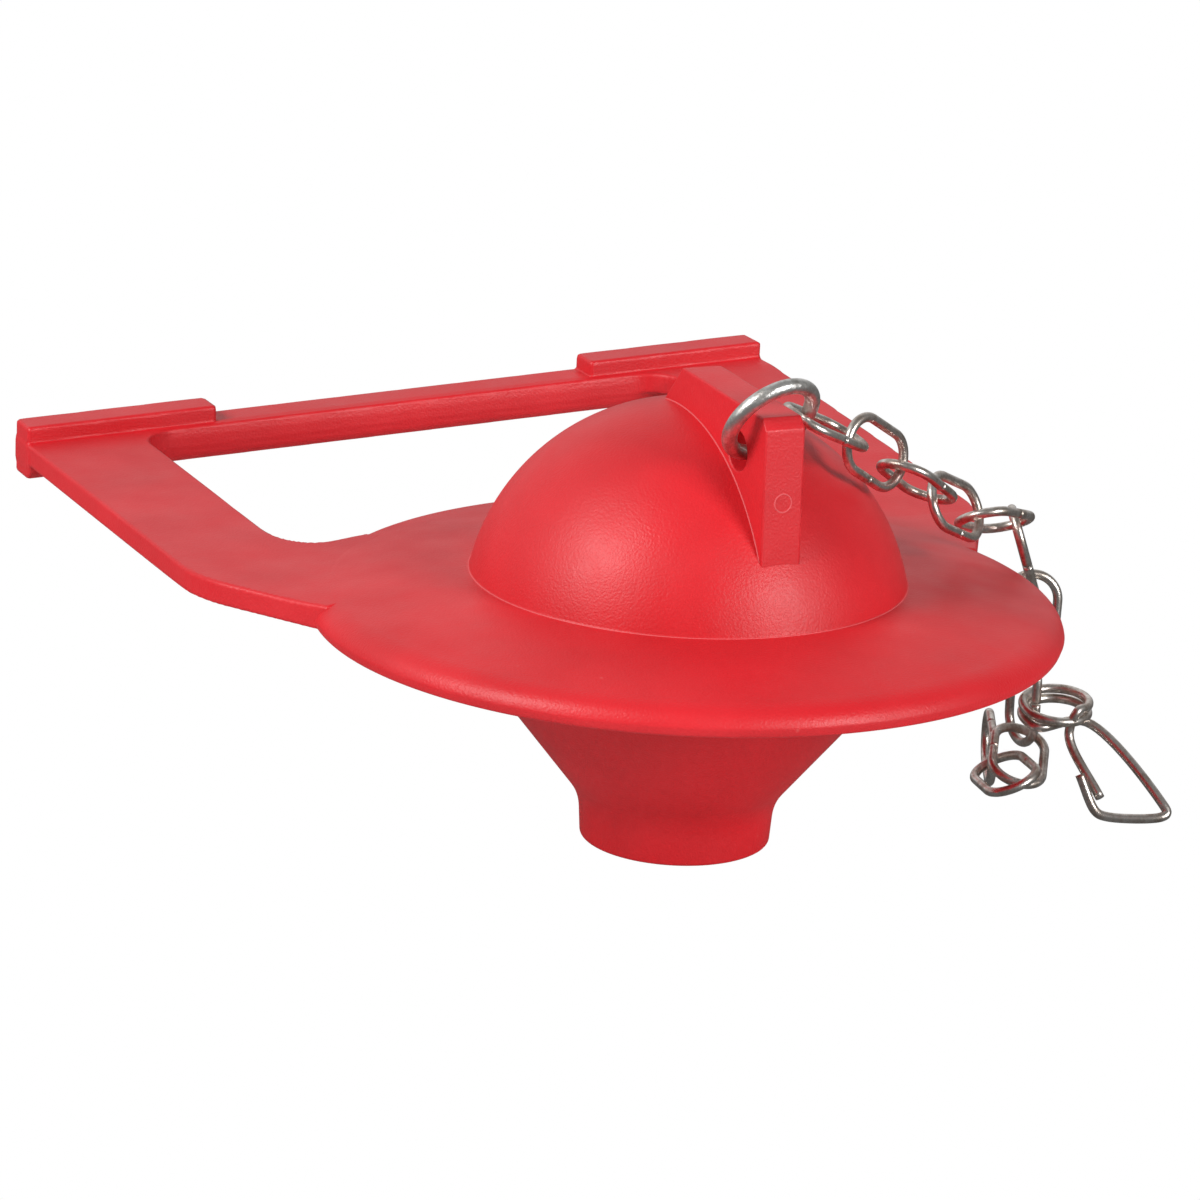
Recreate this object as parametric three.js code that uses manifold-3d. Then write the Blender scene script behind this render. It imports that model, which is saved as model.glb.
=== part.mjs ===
// Toilet flapper: a one-piece rubber moulding (seal disc, hollow bulb, lifting fin and hinge frame)
// with a steel ring through the fin, a length of wire chain and a bent wire clip at its end.
// Millimetres, +Z up. +Y points from the seal disc to the hinge bar, +X to the chain's side.
// The shapes are drawn round the disc's axis, and the last lines move the origin to the hinge bar.

import * as THREE from 'three';
import { mergeVertices } from 'three/addons/utils/BufferGeometryUtils.js';
import Module from 'manifold-3d';

const wasm = await Module();
wasm.setup();

// Seal disc
const discRadius = 42;
const rimThickness = 2.7;
const rimTaper = 0.6;
const rimRound = 0.9;
const discCrown = 5.2;
const turnSteps = 56;

// Hollow bulb under and over the disc
const domeRadius = 24.9;
const bulbWall = 2.2;
const skirtRadius = 23.8;
const skirtDepth = 2.6;
const skirtFillet = 2.4;
const coneTopRadius = 22.6;
const coneTopDepth = 6;
const neckTopRadius = 11.05;
const neckTopDepth = 20.5;
const neckRadius = 10.7;
const neckDepth = 25.5;

// Hinge frame: two arms and the bar that ties them
const frameHalfWidth = 50;
const armWidth = 14;
const frameThickness = 2.7;
const elbowY = 22;
const shoulderX = 40.5;
const shoulderY = 6.3;
const frameRootRadius = 33;
const windowCornerX = 25.8;
const windowCornerY = 31.2;
const windowBayX = 31;
const windowBayY = 30.4;
const windowSideY = 38;
const windowCornerRadius = 5;
const barRearY = 86;
const barWidth = 5.4;
const barDepth = 1.8;
const barBevel = 0.8;

// Raised ears on the bar, where the arms meet it
const earLength = 24.5;
const earWidth = 4.2;
const earHeight = 2.1;
const earBevel = 0.4;

// The frame has taken a set: its two rear corners stand off the disc's plane
const leftLift = -0.4;
const rightLift = 4.4;
const liftStartY = 22;
const liftEndY = 78;

// Lifting fin on the dome
const finThickness = 4.7;
const finFrontY = -21;
const finTopZ = 28.2;
const finLean = 0.7;
const finRise = 0.8;
const finRearY = -0.6;
const finHeelY = 3.4;
const finHoleY = -14.7;
const finHoleZ = 23.3;
const finHoleRadius = 2.2;

// Lift ring through the fin's hole
const ringRadius = 5.08;
const ringWire = 1.7;
const ringTilt = THREE.MathUtils.degToRad(33.5);
const ringYaw = THREE.MathUtils.degToRad(12.4);
const ringSwing = THREE.MathUtils.degToRad(6);
const ringSteps = 36;

// Chain of bent wire links
const linkLength = 11.9;
const linkWidth = 7.2;
const linkWire = 1.1;
const linkClearance = 0.4;
const linkButtGap = 0.25;
const linkSteps = 28;
const linkCount = 11;
const chainSideAngle = THREE.MathUtils.degToRad(-8);
const linkTurn = THREE.MathUtils.degToRad(40.8);
const chainRoll = THREE.MathUtils.degToRad(-34.8);
const chainTwist = THREE.MathUtils.degToRad(-80);

// Clip of bent wire
const clipWire = 1.1;
const eyeRadius = 3.8;
const eyeHeight = 2.3;
const eyeStart = THREE.MathUtils.degToRad(-60);
const eyeEnd = THREE.MathUtils.degToRad(590);
const eyePoints = 22;
const eyeLean = THREE.MathUtils.degToRad(-8);
const clipLink = 8;
const clipAlong = 0.4;
const clipHeading = -19;
const clipSteps = 110;

const wireSides = 8;
const rubber = new THREE.MeshStandardMaterial({ color: '#c41a20', roughness: 0.55, metalness: 0 });
const wornSteel = new THREE.MeshStandardMaterial({ color: '#8e8c88', roughness: 0.55, metalness: 1 });
const brightSteel = new THREE.MeshStandardMaterial({ color: '#a39d97', roughness: 0.3, metalness: 1 });

// A closed geometry as a solid that can be joined and cut
function solid(geometry) {
  geometry.deleteAttribute('normal');
  geometry.deleteAttribute('uv');
  const welded = mergeVertices(geometry, 1e-4);
  const corners = welded.index.array;
  const triVerts = [];
  for (let i = 0; i < corners.length; i += 3) {
    const [a, b, c] = corners.slice(i, i + 3);
    if (a !== b && b !== c && c !== a) triVerts.push(a, b, c);
  }
  return new wasm.Manifold(new wasm.Mesh({
    numProp: 3,
    vertProperties: new Float32Array(welded.attributes.position.array),
    triVerts: new Uint32Array(triVerts),
  }));
}

// The solid's triangles as a geometry again
function geometryOf(body) {
  const mesh = body.getMesh();
  const geometry = new THREE.BufferGeometry();
  geometry.setAttribute('position', new THREE.BufferAttribute(mesh.vertProperties, 3));
  geometry.setIndex(new THREE.BufferAttribute(mesh.triVerts, 1));
  geometry.computeVertexNormals();
  return geometry;
}

function named(name, geometry, material) {
  const mesh = new THREE.Mesh(geometry, material);
  mesh.name = name;
  return mesh;
}

// Seal disc and bulb: one revolved section, open at the neck's mouth
function discAndBulb() {
  const footAngle = Math.asin(discCrown / domeRadius);
  const innerRadius = domeRadius - bulbWall;
  const rimTopRadius = discRadius - rimTaper;
  const section = new THREE.Path();
  section.moveTo(0, domeRadius);
  section.absarc(0, 0, domeRadius, Math.PI / 2, footAngle, true);
  section.quadraticCurveTo(
    (domeRadius + rimTopRadius) / 2, discCrown - 0.4,
    rimTopRadius - rimRound, rimThickness + 0.2,
  );
  section.quadraticCurveTo(rimTopRadius, rimThickness, discRadius, rimRound);
  section.lineTo(discRadius - rimTaper / 2, 0);
  section.lineTo(skirtRadius + skirtFillet, 0);
  section.quadraticCurveTo(skirtRadius, 0, skirtRadius, -skirtDepth);
  section.lineTo(coneTopRadius, -coneTopDepth);
  section.lineTo(neckTopRadius, -neckTopDepth);
  section.lineTo(neckRadius, -neckDepth);
  section.lineTo(neckRadius - bulbWall, -neckDepth);
  section.lineTo(neckTopRadius - bulbWall, -neckTopDepth + bulbWall / 3);
  section.lineTo(coneTopRadius - bulbWall, -coneTopDepth + bulbWall / 3);
  section.lineTo(innerRadius, 0);
  section.absarc(0, 0, innerRadius, 0, Math.PI / 2, false);
  const points = section.getPoints(7);
  points[0].x = 0;
  points[points.length - 1].x = 0;
  return new THREE.LatheGeometry(points.reverse(), turnSteps).rotateX(Math.PI / 2);
}

// Outline of the frame in plan, with its window as a hole
function frameOutline() {
  const outline = new THREE.Shape();
  const rootX = Math.sqrt(frameRootRadius ** 2 - shoulderY ** 2);
  const rootAngle = Math.asin(shoulderY / frameRootRadius);
  outline.moveTo(rootX, shoulderY);
  outline.lineTo(shoulderX, shoulderY);
  outline.lineTo(frameHalfWidth, elbowY);
  outline.lineTo(frameHalfWidth, liftEndY);
  outline.lineTo(frameHalfWidth, barRearY);
  outline.lineTo(-frameHalfWidth, barRearY);
  outline.lineTo(-frameHalfWidth, liftEndY);
  outline.lineTo(-frameHalfWidth, elbowY);
  outline.lineTo(-shoulderX, shoulderY);
  outline.lineTo(-rootX, shoulderY);
  outline.absarc(0, 0, frameRootRadius, Math.PI - rootAngle, rootAngle, true);

  const sideX = frameHalfWidth - armWidth;
  const barFrontY = barRearY - barWidth;
  const opening = new THREE.Path();
  opening.moveTo(windowCornerX, windowCornerY);
  opening.lineTo(windowBayX, windowBayY);
  opening.quadraticCurveTo(sideX, windowBayY + 1, sideX, windowSideY);
  opening.lineTo(sideX, liftEndY - windowCornerRadius);
  opening.absarc(sideX - windowCornerRadius, barFrontY - windowCornerRadius, windowCornerRadius, 0, Math.PI / 2);
  opening.lineTo(sideX - windowCornerRadius, barFrontY + barBevel);
  opening.lineTo(windowCornerRadius - sideX, barFrontY + barBevel);
  opening.absarc(windowCornerRadius - sideX, barFrontY - windowCornerRadius, windowCornerRadius, Math.PI / 2, Math.PI);
  opening.lineTo(-sideX, windowSideY);
  opening.quadraticCurveTo(-sideX, windowBayY + 1, -windowBayX, windowBayY);
  opening.lineTo(-windowCornerX, windowCornerY);
  const cornerAngle = Math.atan2(windowCornerY, windowCornerX);
  opening.absarc(0, 0, Math.hypot(windowCornerX, windowCornerY), Math.PI - cornerAngle, cornerAngle, true);
  outline.holes.push(opening);
  return outline;
}

// A block along X whose corners are cut, from its rear face and underside
function bevelledBar(length, rearY, width, lowZ, highZ, bevel) {
  const section = new THREE.Shape();
  const frontY = rearY - width;
  section.moveTo(rearY, lowZ);
  section.lineTo(rearY, highZ - bevel);
  section.lineTo(rearY - bevel, highZ);
  section.lineTo(frontY + bevel, highZ);
  section.lineTo(frontY, highZ - bevel);
  section.lineTo(frontY, lowZ + bevel);
  section.lineTo(frontY + bevel, lowZ);
  const bar = new THREE.ExtrudeGeometry(section, { depth: length, bevelEnabled: false });
  return bar.rotateY(Math.PI / 2).rotateX(Math.PI / 2);
}

// How far a point of the frame stands off the disc's plane
function liftAt(x, y) {
  const share = THREE.MathUtils.clamp((y - liftStartY) / (liftEndY - liftStartY), 0, 1);
  return share * THREE.MathUtils.lerp(leftLift, rightLift, (x / frameHalfWidth + 1) / 2);
}

function lifted(geometry) {
  const position = geometry.attributes.position;
  for (let i = 0; i < position.count; i += 1) {
    position.setZ(i, position.getZ(i) + liftAt(position.getX(i), position.getY(i)));
  }
  return geometry;
}

// Fin with its lifting hole; its foot ends inside the dome's wall
function fin() {
  const footRadius = domeRadius - bulbWall / 2;
  const frontAngle = Math.PI - Math.acos(-(finFrontY - finLean) / footRadius);
  const rearAngle = Math.acos(finHeelY / footRadius);
  const profile = new THREE.Shape();
  profile.absarc(0, 0, footRadius, rearAngle, frontAngle, false);
  profile.lineTo(finFrontY, finTopZ);
  profile.lineTo(finRearY, finTopZ + finRise);
  profile.lineTo(finHeelY, Math.sqrt(domeRadius ** 2 - finHeelY ** 2));
  const hole = new THREE.Path();
  hole.absarc(finHoleY, finHoleZ, finHoleRadius, 0, 2 * Math.PI, false);
  profile.holes.push(hole);
  const plate = new THREE.ExtrudeGeometry(profile, { depth: finThickness, bevelEnabled: false, curveSegments: 16 });
  plate.translate(0, 0, -finThickness / 2);
  return plate.rotateY(Math.PI / 2).rotateX(Math.PI / 2);
}

function rubberBody() {
  const plate = new THREE.ExtrudeGeometry(frameOutline(), {
    depth: frameThickness, bevelEnabled: false, curveSegments: 8,
  });
  const bar = bevelledBar(2 * frameHalfWidth, barRearY, barWidth, -barDepth, frameThickness, barBevel);
  bar.translate(-frameHalfWidth, 0, 0);
  const ears = [frameHalfWidth - earLength, -frameHalfWidth].map((startX) => {
    const ear = bevelledBar(earLength, barRearY, earWidth, 0, frameThickness + earHeight, earBevel);
    return lifted(ear.translate(startX, 0, 0));
  });
  const parts = [discAndBulb(), lifted(plate), lifted(bar), ...ears, fin()];
  return geometryOf(parts.map(solid).reduce((whole, piece) => whole.add(piece)));
}

// Round wire swept along a path
function wire(path, diameter, steps) {
  const section = new THREE.Shape();
  for (let i = 0; i < wireSides; i += 1) {
    const angle = (2 * Math.PI * i) / wireSides;
    const x = (diameter / 2) * Math.cos(angle);
    const y = (diameter / 2) * Math.sin(angle);
    if (i === 0) section.moveTo(x, y);
    else section.lineTo(x, y);
  }
  section.closePath();
  return new THREE.ExtrudeGeometry(section, { steps, bevelEnabled: false, extrudePath: path });
}

// Centre line of one link, lying along X: two straight legs and two half circles,
// open by the butt gap in the middle of one leg
class LinkPath extends THREE.Curve {
  getPoint(t, target = new THREE.Vector3()) {
    const bend = (linkWidth - linkWire) / 2;
    const leg = linkLength - linkWidth;
    const arc = Math.PI * bend;
    const total = 2 * leg + 2 * arc;
    let s = linkButtGap / 2 + t * (total - linkButtGap);
    if (s < leg / 2) return target.set(s, -bend, 0);
    s -= leg / 2;
    if (s < arc) return target.set(leg / 2 + bend * Math.sin(s / bend), -bend * Math.cos(s / bend), 0);
    s -= arc;
    if (s < leg) return target.set(leg / 2 - s, bend, 0);
    s -= leg;
    if (s < arc) return target.set(-leg / 2 - bend * Math.sin(s / bend), bend * Math.cos(s / bend), 0);
    s -= arc;
    return target.set(-leg / 2 + s, -bend, 0);
  }
}

// Ring: it stands in the fin's hole, leans to the front and has swung to the side away from the chain
const ringAcross = new THREE.Vector3(Math.cos(ringYaw), Math.sin(ringYaw), 0);
const ringUp = new THREE.Vector3(0, 0, 1).applyAxisAngle(ringAcross, ringTilt);
const ringSag = (finThickness / 2) ** 2 / (4 * ringRadius);
const ringReach = ringRadius - ringSag;
const ringCentre = new THREE.Vector3(0, finHoleY, finHoleZ)
  .addScaledVector(ringUp, ringReach * Math.cos(ringSwing))
  .addScaledVector(ringAcross, -ringReach * Math.sin(ringSwing));

function liftRing() {
  const torus = new THREE.TorusGeometry(ringRadius, ringWire / 2, 12, ringSteps);
  const ring = named('lift_ring', torus, wornSteel);
  const facing = ringAcross.clone().cross(ringUp);
  ring.quaternion.setFromRotationMatrix(new THREE.Matrix4().makeBasis(ringAcross, ringUp, facing));
  ring.position.copy(ringCentre);
  return ring;
}

// The chain hangs from pivots: each is the centre of the wire that the next link hooks round.
// It runs from the ring over the dome and the rim, straight down, and ends in a heap of loose links.
const linkPitch = linkLength - 2 * linkWire - linkClearance;
const crownReach = (linkLength - linkWire) / 2;
const domeTurn = new THREE.Vector3(15.86, -12.34, 21.49);
const ringGrip = ringCentre.clone()
  .addScaledVector(ringAcross, ringRadius * Math.cos(chainSideAngle))
  .addScaledVector(ringUp, ringRadius * Math.sin(chainSideAngle));
const chainPull = domeTurn.clone().sub(ringGrip).normalize();
const chainStart = ringGrip.clone().addScaledVector(chainPull, (linkWire - ringWire) / 2);
const hangRadius = discRadius + linkWidth / 2 + 0.1;
const chainRoute = new THREE.CatmullRomCurve3([
  chainStart,
  domeTurn,
  new THREE.Vector3(26.2, -7.4, 14.2),
  new THREE.Vector3(35.0, -3.0, 9.8),
  new THREE.Vector3(42.8, 1.6, 7.0),
  new THREE.Vector3(hangRadius + 0.6, 3.0, 0.2),
  new THREE.Vector3(hangRadius + 0.2, 2.6, -7),
  new THREE.Vector3(hangRadius, 2, -14),
  new THREE.Vector3(hangRadius, 2, -24),
], false, 'centripetal');

// Loose links at the end: heading, slope and roll of each in degrees, and whether its first crown
// rides on top of the wire that it hooks round or is drawn against it
const looseLinks = [
  { heading: 237.5, slope: -16.7, roll: -15.7, onTop: true },
  { heading: 77.4, slope: -3.9, roll: -24.7, onTop: false },
  { heading: 64.6, slope: 7, roll: -90, onTop: false },
];

// Unit vector from a heading (0 along +X, 90 along +Y) and a slope above the level
function pointing(heading, slope) {
  const turn = THREE.MathUtils.degToRad(heading);
  const rise = THREE.MathUtils.degToRad(slope);
  return new THREE.Vector3(Math.cos(rise) * Math.cos(turn), Math.cos(rise) * Math.sin(turn), Math.sin(rise));
}

// A link's place from the pivot that it hooks round, its direction, the line of its crowns
// and the side of the pivot on which its first crown lies
function linkFrame(pivot, along, across, seat = along.clone().negate()) {
  const firstCrown = pivot.clone().addScaledVector(seat, linkWire + linkClearance);
  return {
    pivot,
    along,
    across,
    normal: along.clone().cross(across),
    centre: firstCrown.clone().addScaledVector(along, crownReach),
    end: firstCrown.clone().addScaledVector(along, 2 * crownReach),
  };
}

function linkFrames() {
  const placed = [];
  const tautLinks = linkCount - looseLinks.length;
  const samples = chainRoute.getPoints(4000);
  let side = new THREE.Vector3(0, 0, 1);
  let pivot = samples[0];
  for (const point of samples) {
    if (placed.length < tautLinks && point.distanceTo(pivot) >= linkPitch) {
      const along = point.clone().sub(pivot).normalize();
      side = side.clone().addScaledVector(along, -side.dot(along)).normalize();
      const twist = (chainTwist * placed.length) / (tautLinks - 1);
      const roll = chainRoll + twist + (placed.length % 2 === 0 ? -linkTurn : linkTurn);
      placed.push(linkFrame(pivot, along, side.clone().applyAxisAngle(along, roll)));
      pivot = placed[placed.length - 1].end;
    }
  }
  for (const { heading, slope, roll, onTop } of looseLinks) {
    const along = pointing(heading, slope);
    const across = pointing(heading + 90, 0).applyAxisAngle(along, THREE.MathUtils.degToRad(roll));
    placed.push(linkFrame(pivot, along, across, onTop ? new THREE.Vector3(0, 0, 1) : undefined));
    pivot = placed[placed.length - 1].end;
  }
  return placed;
}

const frames = linkFrames();

function chainLinks() {
  return frames.map((frame, i) => {
    const link = named(`chain_link_${String(i + 1).padStart(2, '0')}`, wire(new LinkPath(), linkWire, linkSteps), brightSteel);
    link.quaternion.setFromRotationMatrix(new THREE.Matrix4().makeBasis(frame.along, frame.across, frame.normal));
    link.position.copy(frame.centre);
    return link;
  });
}

// Clip: an eye of two turns round a link's leg, a long leg, a foot and a hooked end beside the short leg
const clipCarrier = frames[clipLink - 1];
const clipOutward = pointing(clipHeading, 0);
const clipPivot = clipCarrier.centre.clone()
  .addScaledVector(clipCarrier.across, -(linkWidth - linkWire) / 2)
  .addScaledVector(clipCarrier.along, clipAlong);
const shortLeg = [[48.9, -11.2, -22.6], [47.7, -5.4, -16.8]];
const longLeg = [[50.8, -4.0, -15.9], [55.2, -14.6, -22.8]];
const foot = [[55.4, -15.4, -23.7], [54.6, -15.5, -24.1], [49.0, -12.6, -24.4], [48.0, -11.9, -23.9]];
const hookedTip = [[46.8, -9.8, -20.0]];

function hookClip() {
  const axis = new THREE.Vector3(0, 0, 1).applyAxisAngle(clipOutward, -eyeLean);
  const inward = axis.clone().cross(clipOutward);
  const eye = clipPivot.clone()
    .addScaledVector(clipOutward, eyeRadius - (linkWire + clipWire) / 2 - linkClearance);
  const turns = [];
  for (let i = 0; i <= eyePoints; i += 1) {
    const angle = THREE.MathUtils.lerp(eyeStart, eyeEnd, i / eyePoints);
    turns.push(eye.clone()
      .addScaledVector(clipOutward, eyeRadius * Math.cos(angle))
      .addScaledVector(inward, eyeRadius * Math.sin(angle))
      .addScaledVector(axis, eyeHeight * (0.5 - i / eyePoints)));
  }
  const below = (points) => points.map((point) => new THREE.Vector3(...point));
  const bends = [...below(shortLeg), ...turns, ...below(longLeg), ...below(foot), ...below(hookedTip)];
  const path = new THREE.CatmullRomCurve3(bends, false, 'centripetal');
  return named('hook_clip', wire(path, clipWire, clipSteps), brightSteel);
}

const flapper = new THREE.Group();
flapper.add(named('flapper_body', rubberBody(), rubber), liftRing(), ...chainLinks(), hookClip());
flapper.position.set(0, -barRearY, -liftAt(0, barRearY) - frameThickness / 2);

export default flapper;
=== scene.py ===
"""Toilet flapper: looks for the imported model.

Seal disc and bulb are one half section turned round Z. Hinge frame and fin are the surfaces where a
distance formula is zero: each form gives the distance to its own skin, and forms meet in a rounded
minimum or maximum, which leaves the small fillets and worn edges of a moulding. The three run a
little way into each other. Ring, links and clip are round wires swept along their centre lines.
Lengths are in millimetres round the disc's axis, and metres() moves them to the model's frame.
"""

import bpy
import numpy as np
from mathutils import Matrix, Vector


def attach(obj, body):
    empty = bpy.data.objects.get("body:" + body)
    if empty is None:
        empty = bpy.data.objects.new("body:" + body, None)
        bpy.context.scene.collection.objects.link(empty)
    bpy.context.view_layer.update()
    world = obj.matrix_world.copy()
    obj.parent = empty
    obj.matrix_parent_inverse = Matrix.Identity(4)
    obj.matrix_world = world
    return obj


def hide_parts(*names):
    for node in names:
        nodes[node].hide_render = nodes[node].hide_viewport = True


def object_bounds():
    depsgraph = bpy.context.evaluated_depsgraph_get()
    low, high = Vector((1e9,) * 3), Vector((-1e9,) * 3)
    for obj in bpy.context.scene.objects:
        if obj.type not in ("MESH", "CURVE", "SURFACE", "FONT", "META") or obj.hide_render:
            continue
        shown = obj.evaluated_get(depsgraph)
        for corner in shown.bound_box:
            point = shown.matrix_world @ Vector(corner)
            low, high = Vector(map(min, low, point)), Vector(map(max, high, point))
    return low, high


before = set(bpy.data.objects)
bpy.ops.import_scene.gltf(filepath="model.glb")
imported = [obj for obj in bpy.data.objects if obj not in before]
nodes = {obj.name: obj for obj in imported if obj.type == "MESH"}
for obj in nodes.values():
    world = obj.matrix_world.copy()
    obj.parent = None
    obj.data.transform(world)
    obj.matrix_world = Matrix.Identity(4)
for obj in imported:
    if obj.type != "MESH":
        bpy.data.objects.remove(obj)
cad_box = [list(corner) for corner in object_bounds()]

# Where the model's frame has its origin: on the hinge bar's rear face
ORIGIN = np.array([0.0, 86.0, 3.35])

# Seal disc and hollow bulb: radius and height at the section's corners
DISC_RADIUS = 42.0
CROWN_Z = 5.2
CROWN_BEND = (33.0, 4.7)
RIM_TOP = (38.6, 3.4)
RIM_BEND = (41.6, 3.0)
RIM_SIDE_Z = 0.9
RIM_FOOT_RADIUS = 41.7
DOME_RADIUS = 24.9
BULB_WALL = 2.2
SKIRT_RADIUS = 23.8
SKIRT_DEPTH = 2.6
SKIRT_FILLET = 2.4
CONE_TOP = (22.6, -6.0)
NECK_TOP = (11.05, -20.5)
NECK_FOOT = (10.7, -25.5)
TURN_STEPS = 208

# Hinge frame
HALF_WIDTH = 50.0
ARM_WIDTH = 14.0
THICKNESS = 2.7
PLATE_FOOT = 0.02
ELBOW_Y = 22.0
ELBOW_EASE = 4.5
SHOULDER = (40.5, 6.3)
ROOT_RADIUS = 38.0
ROOT_RISE = 0.75
ROOT_RUN = 8.0
WINDOW_START = 89.0
WINDOW_CORNER = (25.8, 31.2)
WINDOW_BAY = (31.0, 30.4)
WINDOW_SIDE_Y = 38.0
WINDOW_ROUND = 5.0
BAR_REAR_Y = 86.0
BAR_FRONT_Y = 80.6
BAR_DEPTH = 1.8
BAR_BEVEL = 0.9
EAR_LENGTH = 24.5
EAR_FRONT_Y = 81.3
EAR_FOOT = -0.5
EAR_TOP = 4.8
LIFT_START_Y = 22.0
LIFT_END_Y = 78.0
LEFT_LIFT = -0.4
RIGHT_LIFT = 4.4
MIRROR_GAP = 0.1

# Lifting fin: its side outline (Y, Z), from the foot of its front round to the foot of its rear
FIN_HALF = 2.35
FIN_FRONT = ((-21.75, 8.5), (-21.05, 27.0))
FIN_OUTLINE = (*FIN_FRONT, (-20.0, 28.24), (-0.6, 29.0), (4.6, 23.37), (4.6, 15.0))
FIN_HOLE = (-14.7, 23.3)
FIN_HOLE_RADIUS = 2.2
FIN_BOX = ((-22.5, 7.5), (5.5, 29.7))
PIN_MARK_Z = 19.1
PIN_MARK_RADIUS = 1.0
SEAM_RADIUS = 0.1
SEAM_START_Y = -21.3
SEAM_END_Y = 3.0

# Ring and chain links
RING_RADIUS = 5.08
RING_WIRE = 1.7
LINK_LENGTH = 11.9
LINK_WIDTH = 7.2
WIRE = 1.1
BUTT_GAP = 0.25
LINK_COUNT = 11
CLIP_LINK = 8

# Clip: its eye of two turns, with angles in degrees, then the wire's bends (X, Y, Z)
EYE_RADIUS = 3.8
EYE_HEIGHT = 2.3
EYE_START = -60.0
EYE_END = 590.0
EYE_POINTS = 22
EYE_LEAN = -8.0
CLIP_ALONG = 0.4
CLIP_HEADING = -19.0
LINK_CLEARANCE = 0.4
SHORT_LEG = ((48.9, -11.2, -22.6), (47.7, -5.4, -16.8))
LONG_LEG = ((50.8, -4.0, -15.9), (55.2, -14.6, -22.8))
FOOT = ((55.4, -15.4, -23.7), (54.6, -15.5, -24.1), (49.0, -12.6, -24.4), (48.0, -11.9, -23.9))
HOOKED_TIP = ((46.8, -9.8, -20.0),)

# Mesh: grid steps, edge rounding, points along and round the wires
FRAME_STEP = 0.4
FRAME_ROUND = 0.45
FIN_STEP = 0.28
FIN_ROUND = 0.22
SEAM_SIDES = 8
RING_POINTS = 120
RING_SIDES = 24
LINK_POINTS = 120
WIRE_SIDES = 18

# Camera: azimuth, elevation and roll in degrees, and its place from the disc's centre
CAMERA_TURN = (-25.671, 16.825, 2.755)
CAMERA_RIGHT = -9.534
CAMERA_UP = 2.016
CAMERA_BACK = 504.0
LENS = 135.9
SENSOR_WIDTH = 36.0

# Light
FLOOR_GREY = 0.8
FLOOR_REFLECTED = 0.12
ROOM_LIGHT = 0.75


def metres(points):
    """Points round the disc's axis in millimetres, as points of the model's frame in metres."""
    return (np.asarray(points, float) - ORIGIN) / 1000


def millimetres(points):
    """The other way round."""
    return np.asarray(points, float) * 1000 + ORIGIN


# Distances

def joined(a, b, fillet):
    """Rounded minimum: b + (a - b) h - fillet h (1 - h), where h goes from 0 to 1 across the fillet."""
    h = np.clip(0.5 + 0.5 * (b - a) / fillet, 0, 1)
    return b + (a - b) * h - fillet * h * (1 - h)


def common(a, b, rounding):
    """Rounded maximum: what lies inside both."""
    return -joined(-a, -b, rounding)


def block(x, y, z, low, high):
    """Distance to a block with rounded edges."""
    distance = None
    for value, a, b in zip((x, y, z), low, high):
        side = np.abs(value - (a + b) / 2) - (b - a) / 2
        distance = side if distance is None else common(distance, side, FRAME_ROUND)
    return distance


def polygon_distance(u, v, corners):
    """Distance to a closed outline: the nearest edge's, negative where a ray from the point crosses the
    outline an odd number of times."""
    nearest = np.inf
    inside = False
    for (au, av), (bu, bv) in zip(corners, np.roll(corners, -1, axis=0)):
        du, dv = bu - au, bv - av
        share = np.clip(((u - au) * du + (v - av) * dv) / (du * du + dv * dv), 0, 1)
        nearest = np.minimum(nearest, np.hypot(u - au - share * du, v - av - share * dv))
        if dv != 0:
            crossed = ((av > v) != (bv > v)) & (u < au + du * (v - av) / dv)
            inside = inside ^ crossed
    return np.where(inside, -nearest, nearest)


# Outlines

def arc(radius, start, end, count):
    """Points on a circle round the origin, with the angles in degrees."""
    turn = np.radians(np.linspace(start, end, count))
    return np.stack([np.cos(turn), np.sin(turn)], axis=1) * radius


def circle(radius, count):
    """Points on a whole circle round the origin."""
    return arc(radius, 0, 360 - 360 / count, count)


def bend(start, knee, end, count):
    """Points on the curve that leaves start towards the knee and reaches end from it."""
    t = np.linspace(0, 1, count)[:, None]
    a, b, c = (np.asarray(point, float) for point in (start, knee, end))
    return (1 - t) ** 2 * a + 2 * t * (1 - t) * b + t ** 2 * c


def eased(path):
    """Outline through corners (u, v, reach), each rounded from reach before it to reach after it."""
    corners = np.array(path, float)
    points = [corners[:1, :2]]
    for before, here, after in zip(corners, corners[1:], corners[2:]):
        ends = []
        for other in (before, after):
            away = other[:2] - here[:2]
            ends.append(here[:2] + away * here[2] / np.hypot(*away))
        points.append(bend(ends[0], here[:2], ends[1], 7 if here[2] else 1))
    return np.concatenate(points + [corners[-1:, :2]])


def plain(points):
    """Points as corners that eased() leaves as they are."""
    return [(u, v, 0) for u, v in points]


def mirrored(right_half):
    """An outline's corners from those with X above 0."""
    return np.concatenate([right_half, right_half[::-1] * (-1, 1)])


def window_outline():
    """Right half: under the disc's edge, out at its corner, round the bay and up the arm to the bar."""
    side_x = HALF_WIDTH - ARM_WIDTH
    corner_angle = np.degrees(np.arctan2(WINDOW_CORNER[1], WINDOW_CORNER[0]))
    front = arc(ROOT_RADIUS, WINDOW_START, corner_angle, 10)
    side = bend(WINDOW_BAY, (side_x, WINDOW_BAY[1] + 1), (side_x, WINDOW_SIDE_Y), 9)
    corner = arc(WINDOW_ROUND, 0, 90, 9) + (side_x - WINDOW_ROUND, BAR_FRONT_Y - WINDOW_ROUND)
    return mirrored(np.concatenate([front, [WINDOW_CORNER], side, corner]))


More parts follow.
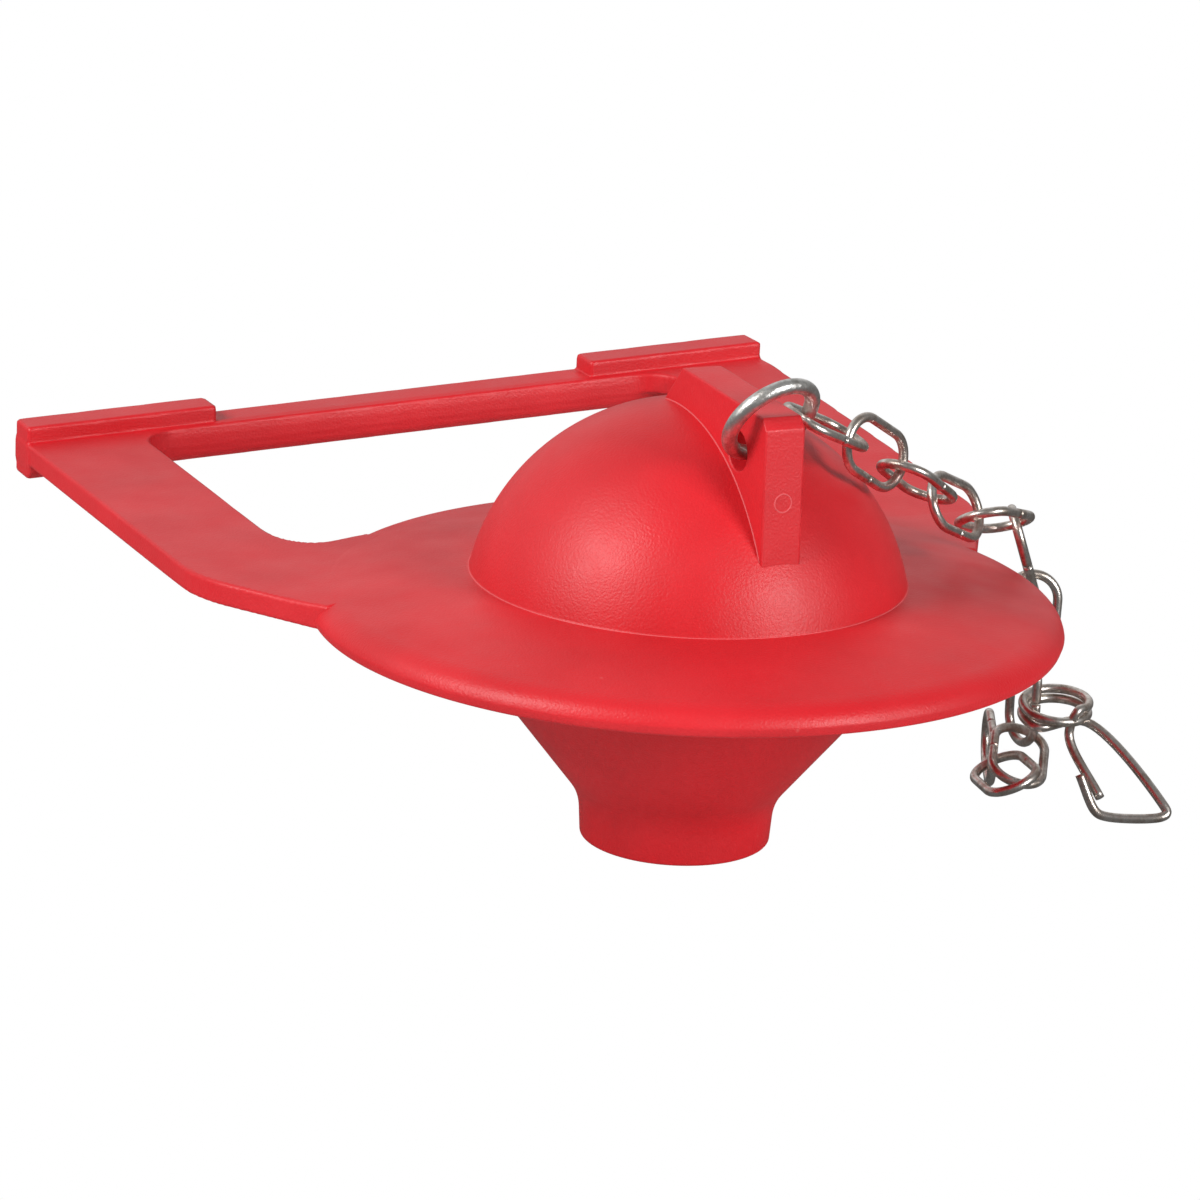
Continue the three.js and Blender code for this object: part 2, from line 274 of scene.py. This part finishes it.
def frame_outline():
    """Right half: shoulder, elbow and the bar's end."""
    return mirrored(eased([
        (MIRROR_GAP, SHOULDER[1], 0), (*SHOULDER, 0), (HALF_WIDTH, ELBOW_Y, ELBOW_EASE),
        (HALF_WIDTH, BAR_REAR_Y, 0.5), (MIRROR_GAP, BAR_REAR_Y, 0),
    ]))


def bar_outline():
    """The bar's section (Y, height), with its front edges cut."""
    inner = BAR_FRONT_Y + BAR_BEVEL
    ease = BAR_BEVEL / 2
    return eased([
        (BAR_REAR_Y, 0, 0), (BAR_REAR_Y, THICKNESS, ease), (inner, THICKNESS, ease),
        (BAR_FRONT_Y, THICKNESS - BAR_BEVEL, ease), (BAR_FRONT_Y, BAR_BEVEL - BAR_DEPTH, ease),
        (inner, -BAR_DEPTH, ease), (BAR_REAR_Y, -BAR_DEPTH, ease), (BAR_REAR_Y, -0.1, 0),
    ])


WINDOW = window_outline()
FRAME = frame_outline()
BAR = bar_outline()


def bulb_section():
    """Half section (radius, height): from the dome's top over the disc, down the cone, up the hollow."""
    dome = arc(DOME_RADIUS, 90, np.degrees(np.arcsin(CROWN_Z / DOME_RADIUS)), 48)
    crown = bend(dome[-1], CROWN_BEND, RIM_TOP, 14)
    rim = bend(RIM_TOP, RIM_BEND, (DISC_RADIUS, RIM_SIDE_Z), 14)
    hollow = arc(DOME_RADIUS - BULB_WALL, 2, 90, 30)
    higher = BULB_WALL / 3
    return eased([
        *plain(dome[:-1]), (*dome[-1], 0.25), *plain(crown[1:]), *plain(rim[1:]),
        (RIM_FOOT_RADIUS, 0, 0.35), (SKIRT_RADIUS, 0, SKIRT_FILLET), (SKIRT_RADIUS, -SKIRT_DEPTH, 0.8),
        (*CONE_TOP, 2.0), (*NECK_TOP, 2.0), (*NECK_FOOT, 0.4),
        (NECK_FOOT[0] - BULB_WALL, NECK_FOOT[1], 0.4),
        (NECK_TOP[0] - BULB_WALL, NECK_TOP[1] + higher, 2.0),
        (CONE_TOP[0] - BULB_WALL, CONE_TOP[1] + higher, 2.0), *plain(hollow),
    ])


# Forms of the frame and the fin

def lift_at(x, y):
    """How far the frame stands off the disc's plane: nothing at the disc, more towards the bar and the
    right."""
    share = np.clip((y - LIFT_START_Y) / (LIFT_END_Y - LIFT_START_Y), 0, 1)
    return share * (LEFT_LIFT + (RIGHT_LIFT - LEFT_LIFT) * (x / HALF_WIDTH + 1) / 2)


def hinge_frame(x, y, z):
    """Plate with a window, thicker bar at its rear and an ear on the bar at each end."""
    w = z - lift_at(x, y)
    plan = common(polygon_distance(x, y, FRAME), -polygon_distance(x, y, WINDOW), FRAME_ROUND)
    radius = np.hypot(x, y)
    plan = np.maximum(plan, ROOT_RADIUS - radius)
    top = THICKNESS + ROOT_RISE * np.clip(1 - (radius - ROOT_RADIUS) / ROOT_RUN, 0, 1) ** 2
    plate = common(plan, np.maximum(w - top, PLATE_FOOT - w), FRAME_ROUND)
    bar = common(polygon_distance(y, w, BAR), np.abs(x) - HALF_WIDTH, FRAME_ROUND)
    whole = joined(plate, bar, FRAME_ROUND)
    for start in (HALF_WIDTH - EAR_LENGTH, -HALF_WIDTH):
        low = (start, EAR_FRONT_Y, EAR_FOOT)
        high = (start + EAR_LENGTH, BAR_REAR_Y, EAR_TOP)
        whole = joined(whole, block(x, y, w, low, high), FRAME_ROUND / 2)
    return whole


def fin(x, y, z):
    """Flat fin with a round hole, rooted in the dome's wall."""
    wall = DOME_RADIUS - BULB_WALL / 2
    profile = np.maximum(polygon_distance(y, z, FIN_OUTLINE), wall - np.sqrt(x ** 2 + y ** 2 + z ** 2))
    plate = common(profile, np.abs(x) - FIN_HALF, FIN_ROUND)
    return common(plate, FIN_HOLE_RADIUS - np.hypot(y - FIN_HOLE[0], z - FIN_HOLE[1]), FIN_ROUND)


# Meshes

def slope_of(distance, points):
    """The distance formula's gradient by central differences."""
    reach = 0.08
    steps = np.eye(3) * reach
    change = [distance(*(points + step).T) - distance(*(points - step).T) for step in steps]
    return np.stack(change, axis=1) / (2 * reach)


def surface_of(distance, low, high, step):
    """Points and quads of the zero surface: one point in each grid cell that it crosses, at the mean of
    its edges' crossings, and one quad round each grid edge that it crosses."""
    counts = np.ceil((high - low) / step).astype(int) + 1
    axes = [low[k] + step * np.arange(counts[k]) for k in range(3)]
    field = distance(*np.meshgrid(*axes, indexing="ij", sparse=True))
    total = np.zeros((*(counts - 1), 3))
    hits = np.zeros(counts - 1)
    rounds = []
    for axis in range(3):
        first = tuple(slice(0, -1) if k == axis else slice(None) for k in range(3))
        second = tuple(slice(1, None) if k == axis else slice(None) for k in range(3))
        edge = np.argwhere((field[first] < 0) != (field[second] < 0))
        a, b = field[first][tuple(edge.T)], field[second][tuple(edge.T)]
        crossing = edge.astype(float)
        crossing[:, axis] += a / (a - b)
        u, v = (k for k in range(3) if k != axis)
        cells = []
        for du, dv in ((0, 0), (-1, 0), (-1, -1), (0, -1)):
            cell = edge.copy()
            cell[:, u] += du
            cell[:, v] += dv
            np.add.at(total, tuple(cell.T), crossing)
            np.add.at(hits, tuple(cell.T), 1)
            cells.append(cell)
        outward = (a < 0) != (axis == 1)
        rounds.append((cells, outward))
    used = hits > 0
    number = np.cumsum(used).reshape(used.shape) - 1
    points = total[used] / hits[used][:, None] * step + low
    quads = []
    for cells, outward in rounds:
        quad = np.stack([number[tuple(cell.T)] for cell in cells], axis=1)
        quad[~outward] = quad[~outward][:, ::-1]
        quads.append(quad)
    return points, np.concatenate(quads)


def settled(distance, points, quads, rounds=3):
    """Evens out the points along the surface and puts each back on it: p - d g / |g|^2."""
    least_slope = 0.2
    furthest = 0.4
    for _ in range(rounds):
        total = np.zeros_like(points)
        count = np.zeros(len(points))
        middle = points[quads].mean(axis=1)
        for k in range(4):
            np.add.at(total, quads[:, k], middle)
            np.add.at(count, quads[:, k], 1)
        points = (points + total / count[:, None]) / 2
        slope = slope_of(distance, points)
        steep = np.maximum((slope ** 2).sum(axis=1), least_slope)
        move = distance(*points.T) / steep
        points = points - np.clip(move, -furthest, furthest)[:, None] * slope
    return points


def skin(distance, low, high, step):
    """Points, faces and normals of the zero surface in a box."""
    points, quads = surface_of(distance, np.array(low, float), np.array(high, float), step)
    points = settled(distance, points, quads)
    slope = slope_of(distance, points)
    return points, quads.tolist(), slope / np.linalg.norm(slope, axis=1)[:, None]


def turned(section):
    """Points, faces and normals of a half section turned round Z, whose ends lie on Z. A point's normal
    is square to the line between its neighbours in the section."""
    along = np.gradient(section, axis=0)
    along /= np.hypot(*along.T)[:, None]
    turn = np.linspace(0, 2 * np.pi, TURN_STEPS, endpoint=False)
    cosine, sine = np.cos(turn), np.sin(turn)

    def swept(radius, height):
        rings = [np.multiply.outer(radius, cosine), np.multiply.outer(radius, sine)]
        return np.stack([*rings, np.repeat(height[:, None], TURN_STEPS, axis=1)], axis=2).reshape(-1, 3)

    middle = section[1:-1]
    poles = [(0, 0, section[0, 1]), (0, 0, section[-1, 1])]
    points = np.concatenate([swept(*middle.T), poles])
    normals = np.concatenate([swept(-along[1:-1, 1], along[1:-1, 0]), [(0, 0, 1), (0, 0, -1)]])
    here = np.arange(TURN_STEPS)
    onward = (here + 1) % TURN_STEPS
    ring = np.arange(len(middle) - 1)[:, None] * TURN_STEPS
    below = ring + TURN_STEPS
    quads = np.stack([ring + here, below + here, below + onward, ring + onward], axis=2)
    last = (len(middle) - 1) * TURN_STEPS
    top = np.stack([here, onward, np.full_like(here, len(points) - 2)], axis=1)
    end = np.stack([last + onward, last + here, np.full_like(here, len(points) - 1)], axis=1)
    return points, quads.reshape(-1, 4).tolist() + top.tolist() + end.tolist(), normals


def gathered(parts):
    """Several (points, faces, ...) as one."""
    points, faces = [], []
    start = 0
    for part in parts:
        points.append(part[0])
        faces += [[corner + start for corner in face] for face in part[1]]
        start += len(part[0])
    return np.concatenate(points), faces


def mesh_object(name, points, faces, material, normals=None):
    """A smooth piece of one material in the model's frame, with its own normals where they are given."""
    mesh = bpy.data.meshes.new(name)
    mesh.from_pydata(metres(points).tolist(), [], [list(face) for face in faces])
    mesh.polygons.foreach_set("use_smooth", np.ones(len(mesh.polygons), bool))
    if normals is not None:
        mesh.normals_split_custom_set_from_vertices(normals.tolist())
    mesh.materials.append(material)
    piece = bpy.data.objects.new(name, mesh)
    bpy.context.scene.collection.objects.link(piece)
    return piece


def tube(line, radius, closed=False, sides=WIRE_SIDES):
    """Round wire: rings of corners square to the line, each ring's start carried on from the last."""
    line = np.asarray(line, float)
    ahead, behind = np.roll(line, -1, axis=0), np.roll(line, 1, axis=0)
    if not closed:
        ahead[-1], behind[0] = line[-1], line[0]
    along = ahead - behind
    along /= np.linalg.norm(along, axis=1)[:, None]
    out = np.cross(along[0], np.eye(3)[np.argmin(np.abs(along[0]))])
    rings = []
    turn = np.linspace(0, 2 * np.pi, sides, endpoint=False)[:, None]
    for point, direction in zip(line, along):
        out = out - direction * (out @ direction)
        out = out / np.linalg.norm(out)
        rings.append(point + radius * (np.cos(turn) * out + np.sin(turn) * np.cross(direction, out)))
    count = len(rings)
    ring = np.arange(count if closed else count - 1)[:, None] * sides
    here = np.arange(sides)[None, :]
    onward = (here + 1) % sides
    upper = (ring + sides) % (count * sides)
    quads = np.stack([ring + here, ring + onward, upper + onward, upper + here], axis=2)
    faces = quads.reshape(-1, 4).tolist()
    if not closed:
        faces += [list(range(sides))[::-1], [(count - 1) * sides + k for k in range(sides)]]
    return np.concatenate(rings), faces


def through(points, per_span=14):
    """Smooth line through points: a cubic in each span whose end slopes come from the neighbours,
    weighted by the square root of their distances."""
    points = np.asarray(points, float)
    ends = np.concatenate([[2 * points[0] - points[1]], points, [2 * points[-1] - points[-2]]])
    t = np.linspace(0, 1, per_span, endpoint=False)[:, None]
    line = []
    for a, b, c, d in zip(ends, ends[1:], ends[2:], ends[3:]):
        ab, bc, cd = (np.sqrt(np.linalg.norm(q - p)) for p, q in ((a, b), (b, c), (c, d)))
        start = bc * ((b - a) / ab - (c - a) / (ab + bc) + (c - b) / bc)
        end = bc * ((c - b) / bc - (d - b) / (bc + cd) + (d - c) / cd)
        square = 3 * (c - b) - 2 * start - end
        cube = 2 * (b - c) + start + end
        line.append(b + start * t + square * t ** 2 + cube * t ** 3)
    return np.concatenate(line + [points[-1:]])


def node_points(name):
    """A solid's own corners, round the disc's axis."""
    mesh = nodes[name].data
    flat = np.empty(len(mesh.vertices) * 3)
    mesh.vertices.foreach_get("co", flat)
    return millimetres(np.unique(flat.reshape(-1, 3).round(7), axis=0))


def wire_axes(points):
    """Centre of a flat loop and the directions of its length and its width."""
    mean = points.mean(axis=0)
    normal, across, along = np.linalg.eigh(np.cov((points - mean).T))[1].T
    axes = np.stack([along, across, normal])
    placed = (points - mean) @ axes.T
    middle = (placed.min(axis=0) + placed.max(axis=0)) / 2
    return mean + middle @ axes, along, across


# Materials

def add(tree, kind, **values):
    """A new shader node, with its settings and its sockets' values by name."""
    node = tree.nodes.new("ShaderNode" + kind)
    for name, value in values.items():
        if name in node.inputs:
            if isinstance(value, bpy.types.NodeSocket):
                tree.links.new(value, node.inputs[name])
            else:
                node.inputs[name].default_value = value
        else:
            setattr(node, name, value)
    return node


def new_material(name):
    """A material, its node tree, its shader and the object coordinates that its textures use."""
    material = bpy.data.materials.new(name)
    material.use_nodes = True
    tree = material.node_tree
    shader = tree.nodes["Principled BSDF"]
    place = add(tree, "TexCoord").outputs["Object"]
    return material, tree, shader, place


def ramp(tree, factor, stops):
    """Colours along a factor."""
    node = add(tree, "ValToRGB", Fac=factor)
    while len(node.color_ramp.elements) < len(stops):
        node.color_ramp.elements.new(0.5)
    for element, (position, colour) in zip(node.color_ramp.elements, stops):
        element.position = position
        element.color = (*colour, 1)
    return node.outputs["Color"]


def grey(value):
    return (value, value, value)


def moulded_rubber():
    """Matt red rubber: slow colour changes, a few pale dusty specks, fine grain and a soft sheen."""
    material, tree, shader, place = new_material("moulded_rubber")
    cloud = add(tree, "TexNoise", Vector=place, Scale=70.0, Detail=4.0).outputs["Fac"]
    red = ramp(tree, cloud, ((0.3, (0.60, 0.008, 0.014)), (0.7, (0.70, 0.011, 0.019))))
    cell = add(tree, "TexVoronoi", Vector=place, Scale=420.0, Randomness=1.0).outputs["Distance"]
    speck = ramp(tree, cell, ((0.0, grey(0.7)), (0.06, grey(0.3)), (0.12, grey(0.0))))
    dust = add(tree, "TexNoise", Vector=place, Scale=260.0, Detail=2.0).outputs["Fac"]
    dusty = ramp(tree, dust, ((0.58, grey(0.0)), (0.70, grey(0.7))))
    share = add(tree, "Math", operation="MULTIPLY")
    tree.links.new(speck, share.inputs[0])
    tree.links.new(dusty, share.inputs[1])
    mix = add(tree, "MixRGB", Fac=share.outputs[0], Color1=red, Color2=(0.75, 0.22, 0.20, 1))
    tree.links.new(mix.outputs["Color"], shader.inputs["Base Color"])
    patch = add(tree, "TexNoise", Vector=place, Scale=150.0, Detail=5.0).outputs["Fac"]
    rough = ramp(tree, patch, ((0.3, grey(0.42)), (0.7, grey(0.52))))
    tree.links.new(rough, shader.inputs["Roughness"])
    shader.inputs["Specular IOR Level"].default_value = 0.5
    shader.inputs["Sheen Weight"].default_value = 0.04
    shader.inputs["Sheen Roughness"].default_value = 0.4
    shader.inputs["Sheen Tint"].default_value = (1.0, 0.8, 0.78, 1)
    grain = add(tree, "TexNoise", Vector=place, Scale=3600.0, Detail=2.0).outputs["Fac"]
    wave = add(tree, "TexNoise", Vector=place, Scale=240.0, Detail=3.0).outputs["Fac"]
    broad = add(tree, "Bump", Height=wave, Strength=0.2, Distance=0.0002)
    under = broad.outputs["Normal"]
    fine = add(tree, "Bump", Height=grain, Strength=0.8, Distance=0.00006, Normal=under)
    tree.links.new(fine.outputs["Normal"], shader.inputs["Normal"])
    return material


def pale_flash():
    """The thin lip of rubber along a seam, paler for its frayed edge."""
    material, _, shader, _ = new_material("mould_flash")
    shader.inputs["Base Color"].default_value = (0.72, 0.10, 0.11, 1)
    shader.inputs["Roughness"].default_value = 0.6
    return material


def drawn_steel(name, pale, dark, smooth, worn, pits):
    """Steel wire: patchy colour and gloss, with small pits."""
    material, tree, shader, place = new_material(name)
    patch = add(tree, "TexNoise", Vector=place, Scale=620.0, Detail=6.0, Roughness=0.7).outputs["Fac"]
    colour = ramp(tree, patch, ((0.38, dark), (0.6, pale)))
    rough = ramp(tree, patch, ((0.3, grey(worn)), (0.7, grey(smooth))))
    tree.links.new(colour, shader.inputs["Base Color"])
    tree.links.new(rough, shader.inputs["Roughness"])
    shader.inputs["Metallic"].default_value = 1.0
    pit = add(tree, "TexNoise", Vector=place, Scale=1700.0, Detail=4.0).outputs["Fac"]
    bump = add(tree, "Bump", Height=pit, Strength=pits, Distance=0.00008)
    tree.links.new(bump.outputs["Normal"], shader.inputs["Normal"])
    return material


rubber = moulded_rubber()
flash = pale_flash()
ring_steel = drawn_steel("galvanised_ring", (0.84, 0.83, 0.80), (0.46, 0.44, 0.41), 0.32, 0.5, 1.0)
wire_steel = drawn_steel("stainless_wire", (0.88, 0.83, 0.78), (0.50, 0.42, 0.36), 0.24, 0.42, 0.3)


# Rubber moulding

def rubber_moulding():
    """Disc with bulb, frame and fin, each a closed surface that runs a little way into the next."""
    frame_low = (-HALF_WIDTH - 1, 0, -BAR_DEPTH + LEFT_LIFT - 1)
    frame_high = (HALF_WIDTH + 1, BAR_REAR_Y + 1, EAR_TOP + RIGHT_LIFT + 1)
    fin_low = (-FIN_HALF - 0.5, *FIN_BOX[0])
    fin_high = (FIN_HALF + 0.5, *FIN_BOX[1])
    parts = [
        turned(bulb_section()),
        skin(hinge_frame, frame_low, frame_high, FRAME_STEP),
        skin(fin, fin_low, fin_high, FIN_STEP),
    ]
    points, faces = gathered(parts)
    normals = np.concatenate([part[2] for part in parts])
    return mesh_object("rubber_moulding", points, faces, rubber, normals)


def seams():
    """Thin flash that the mould left along the foot of the dome and of the fin, and the mark of one
    ejector pin."""
    foot = circle(np.sqrt(DOME_RADIUS ** 2 - CROWN_Z ** 2), 240)
    foot_line = np.column_stack([foot, np.full(len(foot), CROWN_Z)])
    lines = [tube(foot_line, SEAM_RADIUS, closed=True, sides=SEAM_SIDES)]
    for side in (-1, 1):
        y = np.linspace(SEAM_START_Y, SEAM_END_Y, 90)
        x = np.full_like(y, side * FIN_HALF)
        line = np.column_stack([x, y, np.sqrt(DOME_RADIUS ** 2 - x ** 2 - y ** 2)])
        lines.append(tube(line, SEAM_RADIUS, sides=SEAM_SIDES))
    (foot_y, foot_z), (top_y, top_z) = FIN_FRONT
    mark = circle(PIN_MARK_RADIUS, 36)
    height = PIN_MARK_Z + mark[:, 1]
    depth = foot_y + (top_y - foot_y) * (height - foot_z) / (top_z - foot_z)
    mark_line = np.column_stack([mark[:, 0], depth, height])
    lines.append(tube(mark_line, SEAM_RADIUS * 0.8, closed=True, sides=SEAM_SIDES))
    return mesh_object("mould_seams", *gathered(lines), flash)


moulding = rubber_moulding()
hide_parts("flapper_body")
for piece in (moulding, seams()):
    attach(piece, "flapper")


# Lift ring

def lift_ring():
    """Closed ring of thicker wire, where the solid one hangs."""
    centre, along, across = wire_axes(node_points("lift_ring"))
    line = centre + circle(RING_RADIUS, RING_POINTS) @ np.stack([along, across])
    wire = tube(line, RING_WIRE / 2, closed=True, sides=RING_SIDES)
    ring = mesh_object("steel_ring", *wire, ring_steel)
    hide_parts("lift_ring")
    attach(ring, "ring")


lift_ring()


# Chain

def link_line():
    """Centre line of a link along X: two legs and two half circles, open by the butt gap in one leg."""
    radius = (LINK_WIDTH - WIRE) / 2
    leg = LINK_LENGTH - LINK_WIDTH
    half_turn = np.pi * radius
    s = np.linspace(BUTT_GAP / 2, 2 * (leg + half_turn) - BUTT_GAP / 2, LINK_POINTS)
    stops = np.cumsum([leg / 2, half_turn, leg, half_turn])
    first = (s - stops[0]) / radius
    second = (s - stops[2]) / radius
    spans = [s < stop for stop in stops]
    x = np.select(spans, [
        s, leg / 2 + radius * np.sin(first), leg / 2 - (s - stops[1]), -leg / 2 - radius * np.sin(second),
    ], s - stops[3] - leg / 2)
    y = np.select(spans, [
        np.full_like(s, -radius), -radius * np.cos(first), np.full_like(s, radius), radius * np.cos(second),
    ], -radius)
    return x, y


def link_axes(number):
    """A link's centre, direction and the way across it, away from its butt."""
    points = node_points(f"chain_link_{number:02d}")
    centre, along, across = wire_axes(points)
    x, y = ((points - centre) @ axis for axis in (along, across))
    on_leg = np.abs(y) > (LINK_WIDTH - WIRE) / 2 - WIRE
    nearest = [np.abs(x[on_leg & (side * y > 0)]).min() for side in (-1, 1)]
    return centre, along, across if nearest[0] > nearest[1] else -across


def chain_link(number):
    """One link of the chain, where the solid one hangs."""
    centre, along, across = link_axes(number)
    x, y = link_line()
    line = centre + x[:, None] * along + y[:, None] * across
    link = mesh_object(f"wire_link_{number:02d}", *tube(line, WIRE / 2), wire_steel)
    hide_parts(f"chain_link_{number:02d}")
    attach(link, f"link_{number:02d}")


for number in range(1, LINK_COUNT + 1):
    chain_link(number)


# Clip

def wire_clip():
    """One wire: a short leg, two turns round a leg of the link that carries it, a long leg, the foot and
    the hooked tip."""
    centre, along, across = link_axes(CLIP_LINK)
    along = along * -np.sign(along[2])
    near = across * -np.sign(across[1])
    heading, lean = np.radians(CLIP_HEADING), np.radians(-EYE_LEAN)
    outward = np.array([np.cos(heading), np.sin(heading), 0])
    upward = np.array([0.0, 0.0, 1.0])
    axis = upward * np.cos(lean) + np.cross(outward, upward) * np.sin(lean)
    inward = np.cross(axis, outward)
    pivot = centre + near * (LINK_WIDTH - WIRE) / 2 + along * CLIP_ALONG
    eye = pivot + outward * (EYE_RADIUS - WIRE - LINK_CLEARANCE)
    share = np.linspace(0, 1, EYE_POINTS + 1)[:, None]
    angle = np.radians(EYE_START + (EYE_END - EYE_START) * share)
    circling = EYE_RADIUS * (np.cos(angle) * outward + np.sin(angle) * inward)
    turns = eye + circling + EYE_HEIGHT * (0.5 - share) * axis
    line = through(np.concatenate([SHORT_LEG, turns, LONG_LEG, FOOT, HOOKED_TIP]))
    clip = mesh_object("wire_clip", *tube(line, WIRE / 2), wire_steel)
    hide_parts("hook_clip")
    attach(clip, "clip")


wire_clip()


# Camera

def camera():
    """The photograph's camera: back points from the object to it, right and top are the picture's."""
    azimuth, elevation, roll = np.radians(CAMERA_TURN)
    outward = np.array([np.sin(azimuth), -np.cos(azimuth), 0])
    back = outward * np.cos(elevation) + np.array([0, 0, np.sin(elevation)])
    level = np.array([np.cos(azimuth), np.sin(azimuth), 0])
    up = np.cross(back, level)
    right = np.cos(roll) * level + np.sin(roll) * up
    top = -np.sin(roll) * level + np.cos(roll) * up
    place = CAMERA_RIGHT * right + CAMERA_UP * top + CAMERA_BACK * back
    data = bpy.data.cameras.new("camera")
    data.lens = LENS
    data.sensor_width = SENSOR_WIDTH
    data.clip_start = 0.01
    taken = bpy.data.objects.new("camera", data)
    bpy.context.scene.collection.objects.link(taken)
    pose = np.eye(4)
    pose[:3, :3] = np.stack([right, top, back], axis=1)
    pose[:3, 3] = metres(place)
    taken.matrix_world = Matrix(pose.tolist())
    bpy.context.scene.camera = taken


camera()


# Floor, backdrop and light

def split(tree, kind_of_ray, special, usual):
    """One shader for a kind of ray, another for all other rays."""
    mix = add(tree, "MixShader", Fac=add(tree, "LightPath").outputs[kind_of_ray])
    tree.links.new(usual, mix.inputs[1])
    tree.links.new(special, mix.inputs[2])
    return mix.outputs[0]


def floor():
    """Floor at the lowest point: it throws light up, looks dark in reflections and white to the camera."""
    low = min(corner[2] for corner in cad_box)
    mesh = bpy.data.meshes.new("floor")
    reach = 3.0
    corners = [(-reach, -reach, low), (reach, -reach, low), (reach, reach, low), (-reach, reach, low)]
    mesh.from_pydata(corners, [], [(0, 1, 2, 3)])
    material, tree, shader, _ = new_material("pale_floor")
    shader.inputs["Base Color"].default_value = (*grey(FLOOR_GREY), 1)
    shader.inputs["Roughness"].default_value = 0.9
    dark = add(tree, "Emission", Strength=FLOOR_REFLECTED).outputs[0]
    white = add(tree, "Emission", Strength=1.0).outputs[0]
    surface = split(tree, "Is Camera Ray", white, split(tree, "Is Glossy Ray", dark, shader.outputs[0]))
    tree.links.new(surface, tree.nodes["Material Output"].inputs["Surface"])
    mesh.materials.append(material)
    plane = bpy.data.objects.new("floor", mesh)
    bpy.context.scene.collection.objects.link(plane)


def backdrop():
    """White to the camera, and to the object a room that is bright behind and dim in front and below."""
    world = bpy.data.worlds.new("room")
    bpy.context.scene.world = world
    world.use_nodes = True
    tree = world.node_tree
    tree.nodes.clear()
    direction = add(tree, "TexCoord").outputs["Generated"]
    parts = add(tree, "SeparateXYZ", Vector=direction)
    behind = ramp(tree, parts.outputs["Y"], ((0.0, grey(0.24)), (0.25, grey(0.36)), (0.8, grey(1.0))))
    above = ramp(tree, parts.outputs["Z"], ((0.0, grey(0.35)), (0.1, grey(0.8)), (0.6, grey(1.0))))
    room = add(tree, "MixRGB", blend_type="MULTIPLY", Fac=1.0, Color1=behind, Color2=above)
    lit = add(tree, "Background", Color=room.outputs["Color"], Strength=ROOM_LIGHT).outputs[0]
    seen = add(tree, "Background", Color=(1, 1, 1, 1), Strength=1.0).outputs[0]
    output = add(tree, "OutputWorld")
    tree.links.new(split(tree, "Is Camera Ray", seen, lit), output.inputs["Surface"])


def softbox(name, place, size, power):
    """Square area light that faces the middle of the object."""
    data = bpy.data.lights.new(name, "AREA")
    data.size = size
    data.energy = power
    lamp = bpy.data.objects.new(name, data)
    bpy.context.scene.collection.objects.link(lamp)
    position = np.array(place)
    target = metres((0, 0, 5))
    back = (position - target) / np.linalg.norm(position - target)
    side = np.cross((0, 0, 1), back)
    side /= np.linalg.norm(side)
    pose = np.eye(4)
    pose[:3, :3] = np.stack([side, np.cross(back, side), back], axis=1)
    pose[:3, 3] = position
    lamp.matrix_world = Matrix(pose.tolist())


floor()
backdrop()
softbox("left", place=(-0.75, -0.17, 0.56), size=0.34, power=7.0)
softbox("front", place=(0.38, -0.90, 0.33), size=0.30, power=6.0)

bpy.context.scene.view_settings.view_transform = "Standard"
